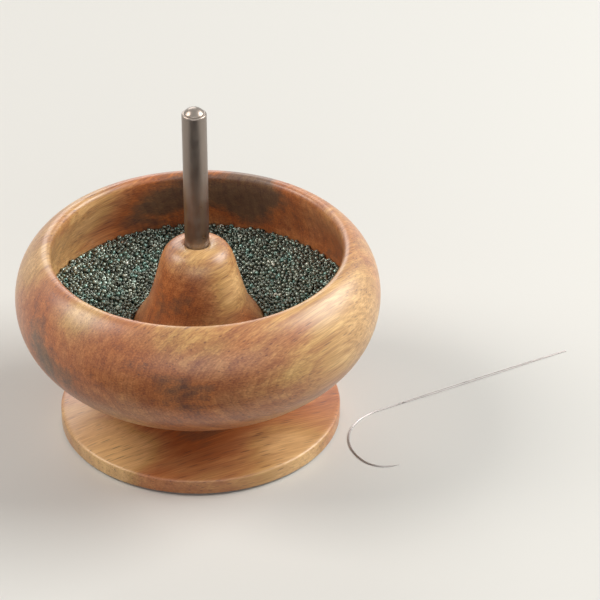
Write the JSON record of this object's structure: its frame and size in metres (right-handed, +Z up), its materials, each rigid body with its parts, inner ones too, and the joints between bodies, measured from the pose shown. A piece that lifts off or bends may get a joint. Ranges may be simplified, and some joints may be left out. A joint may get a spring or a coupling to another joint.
{
  "type": "bead spinner",
  "caption": "Tabletop bead spinner: a turned wooden bowl with a bell-shaped hub and steel spindle spins in a round wooden base, with a fill of beads and a loose curved needle.",
  "frame": {"origin": "centre of the base's underside, on the table, on the spindle's axis", "axes": "+Z up along the spindle, +X to the right towards the needle's tail, +Y away from the front view"},
  "size_m": [0.1479, 0.095, 0.0926],
  "materials": {
    "felt": "pressed felt",
    "base_wood": "satin varnish",
    "hard_steel": "ground",
    "brass": "turned",
    "nylon": "matte",
    "bowl_wood": "satin varnish",
    "spindle_steel": "polished rod",
    "beads": "glossy",
    "needle_steel": "bright wire"
  },
  "bodies": {
    "base": {"base_pad": "felt", "base_foot": "base_wood", "thrust_disc": "hard_steel", "base_bush": "brass"},
    "washer": {"spacer_washer": "nylon"},
    "bowl": {"bowl": "bowl_wood", "spindle": "spindle_steel", "bead_fill": "beads"},
    "needle": {"needle_inner_wire": "needle_steel", "needle_outer_wire": "needle_steel"}
  },
  "joints": [
    {"name": "bowl_lift", "type": "slide", "parent": "base", "child": "washer", "axis": [0, 0, 1], "range_m": [0, 0.05]},
    {"name": "bowl_spin", "type": "hinge", "parent": "washer", "child": "bowl", "pos_m": [0, 0, 0.013], "axis": [0, 0, 1], "continuous": true},
    {"name": "needle_lift", "type": "slide", "parent": "base", "child": "needle", "axis": [0.8, 0, 0.6], "range_m": [0, 0.1]}
  ]
}
